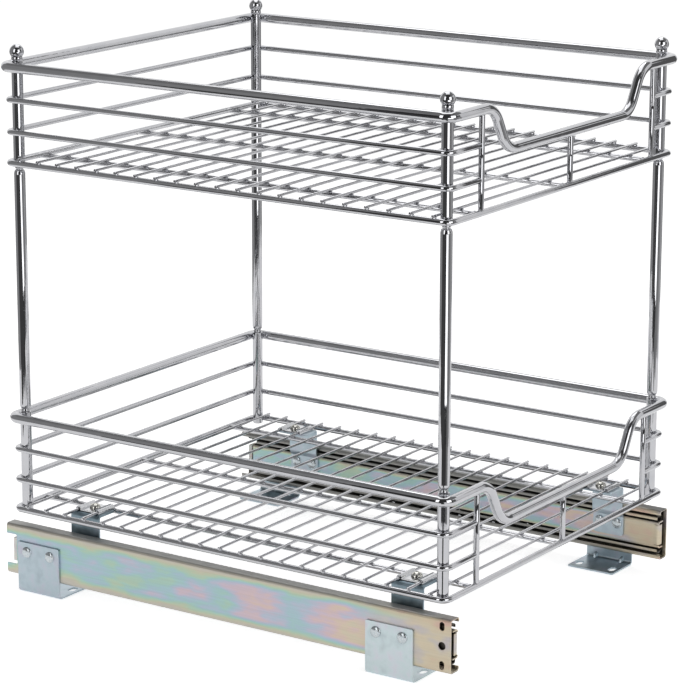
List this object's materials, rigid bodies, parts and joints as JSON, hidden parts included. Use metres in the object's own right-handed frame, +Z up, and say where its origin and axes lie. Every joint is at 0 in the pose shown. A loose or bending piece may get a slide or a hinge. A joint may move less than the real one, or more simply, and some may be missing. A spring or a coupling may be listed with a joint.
{
  "type": "under sink organizer",
  "caption": "Chrome two-tier wire pull-out organizer: scooped wire baskets on corner posts, riding on ball-bearing slides with slotted foot brackets.",
  "frame": {"origin": "on the floor, under the middle of the whole object when pushed in", "axes": "+Z up, -Y towards the front (the scooped, pulled side), +X to the right seen from the front"},
  "size_m": [0.3666, 0.45, 0.4735],
  "materials": {
    "bright_chrome": "bright nickel-chrome plated steel wire and tube",
    "yellow_zinc_slide": "rolled steel, yellow iridescent zinc passivation",
    "blue_zinc_bracket": "bent steel sheet, clear blue zinc passivation",
    "white_nylon": "moulded natural nylon",
    "plain_steel_strip": "pressed strip, greased",
    "hardened_steel_ball": "ground and polished hardened steel",
    "plated_rivet": "domed rivet, clear zinc",
    "nickel_clamp": "pressed clip, nickel plated",
    "plated_screw": "domed screw, nickel plated"
  },
  "bodies": {
    "cabinet_side": {"left_outer_slide_member": "yellow_zinc_slide", "left_rear_bumper": "white_nylon", "front_left_foot_bracket": "blue_zinc_bracket", "rear_left_foot_bracket": "blue_zinc_bracket", "right_outer_slide_member": "yellow_zinc_slide", "right_rear_bumper": "white_nylon", "front_right_foot_bracket": "blue_zinc_bracket", "rear_right_foot_bracket": "blue_zinc_bracket", "foot_rivets": "plated_rivet"},
    "carriage": {"left_inner_slide_member": "yellow_zinc_slide", "front_left_basket_bracket": "blue_zinc_bracket", "front_left_wire_clamp": "nickel_clamp", "front_left_post": "bright_chrome", "front_left_ball_finial": "bright_chrome", "rear_left_basket_bracket": "blue_zinc_bracket", "rear_left_wire_clamp": "nickel_clamp", "rear_left_post": "bright_chrome", "rear_left_ball_finial": "bright_chrome", "right_inner_slide_member": "yellow_zinc_slide", "front_right_basket_bracket": "blue_zinc_bracket", "front_right_wire_clamp": "nickel_clamp", "front_right_post": "bright_chrome", "front_right_ball_finial": "bright_chrome", "rear_right_basket_bracket": "blue_zinc_bracket", "rear_right_wire_clamp": "nickel_clamp", "rear_right_post": "bright_chrome", "rear_right_ball_finial": "bright_chrome", "basket_bracket_rivets": "plated_rivet", "clamp_screws": "plated_screw", "lower_basket_top_rail": "bright_chrome", "lower_basket_upper_side_rail": "bright_chrome", "lower_basket_lower_side_rail": "bright_chrome", "lower_basket_bottom_rail": "bright_chrome", "lower_basket_cross_wires": "bright_chrome", "lower_basket_runner_wires": "bright_chrome", "lower_basket_corner_tubes": "bright_chrome", "lower_basket_front_uprights": "bright_chrome", "upper_basket_top_rail": "bright_chrome", "upper_basket_upper_side_rail": "bright_chrome", "upper_basket_lower_side_rail": "bright_chrome", "upper_basket_bottom_rail": "bright_chrome", "upper_basket_cross_wires": "bright_chrome", "upper_basket_runner_wires": "bright_chrome", "upper_basket_corner_tubes": "bright_chrome", "upper_basket_front_uprights": "bright_chrome"},
    "left_middle_member": {"left_middle_slide_member": "yellow_zinc_slide"},
    "left_outer_cage": {"left_outer_ball_cage": "plain_steel_strip", "left_outer_bearing_balls": "hardened_steel_ball"},
    "left_inner_cage": {"left_inner_ball_cage": "plain_steel_strip", "left_inner_bearing_balls": "hardened_steel_ball"},
    "right_middle_member": {"right_middle_slide_member": "yellow_zinc_slide"},
    "right_outer_cage": {"right_outer_ball_cage": "plain_steel_strip", "right_outer_bearing_balls": "hardened_steel_ball"},
    "right_inner_cage": {"right_inner_ball_cage": "plain_steel_strip", "right_inner_bearing_balls": "hardened_steel_ball"}
  },
  "joints": [
    {"name": "carriage_slide", "type": "slide", "parent": "cabinet_side", "child": "carriage", "axis": [0, -1, 0], "range_m": [0, 0.45]},
    {"name": "left_middle_member_slide", "type": "slide", "parent": "cabinet_side", "child": "left_middle_member", "axis": [0, -1, 0], "range_m": [0, 0.225]},
    {"name": "left_outer_cage_slide", "type": "slide", "parent": "cabinet_side", "child": "left_outer_cage", "axis": [0, -1, 0], "range_m": [0, 0.1125]},
    {"name": "left_inner_cage_slide", "type": "slide", "parent": "cabinet_side", "child": "left_inner_cage", "axis": [0, -1, 0], "range_m": [0, 0.3375]},
    {"name": "right_middle_member_slide", "type": "slide", "parent": "cabinet_side", "child": "right_middle_member", "axis": [0, -1, 0], "range_m": [0, 0.225]},
    {"name": "right_outer_cage_slide", "type": "slide", "parent": "cabinet_side", "child": "right_outer_cage", "axis": [0, -1, 0], "range_m": [0, 0.1125]},
    {"name": "right_inner_cage_slide", "type": "slide", "parent": "cabinet_side", "child": "right_inner_cage", "axis": [0, -1, 0], "range_m": [0, 0.3375]}
  ],
  "couplings": [
    {"joint": "left_middle_member_slide", "follows": "carriage_slide", "ratio": 0.5},
    {"joint": "left_outer_cage_slide", "follows": "carriage_slide", "ratio": 0.25},
    {"joint": "left_inner_cage_slide", "follows": "carriage_slide", "ratio": 0.75},
    {"joint": "right_middle_member_slide", "follows": "carriage_slide", "ratio": 0.5},
    {"joint": "right_outer_cage_slide", "follows": "carriage_slide", "ratio": 0.25},
    {"joint": "right_inner_cage_slide", "follows": "carriage_slide", "ratio": 0.75}
  ]
}
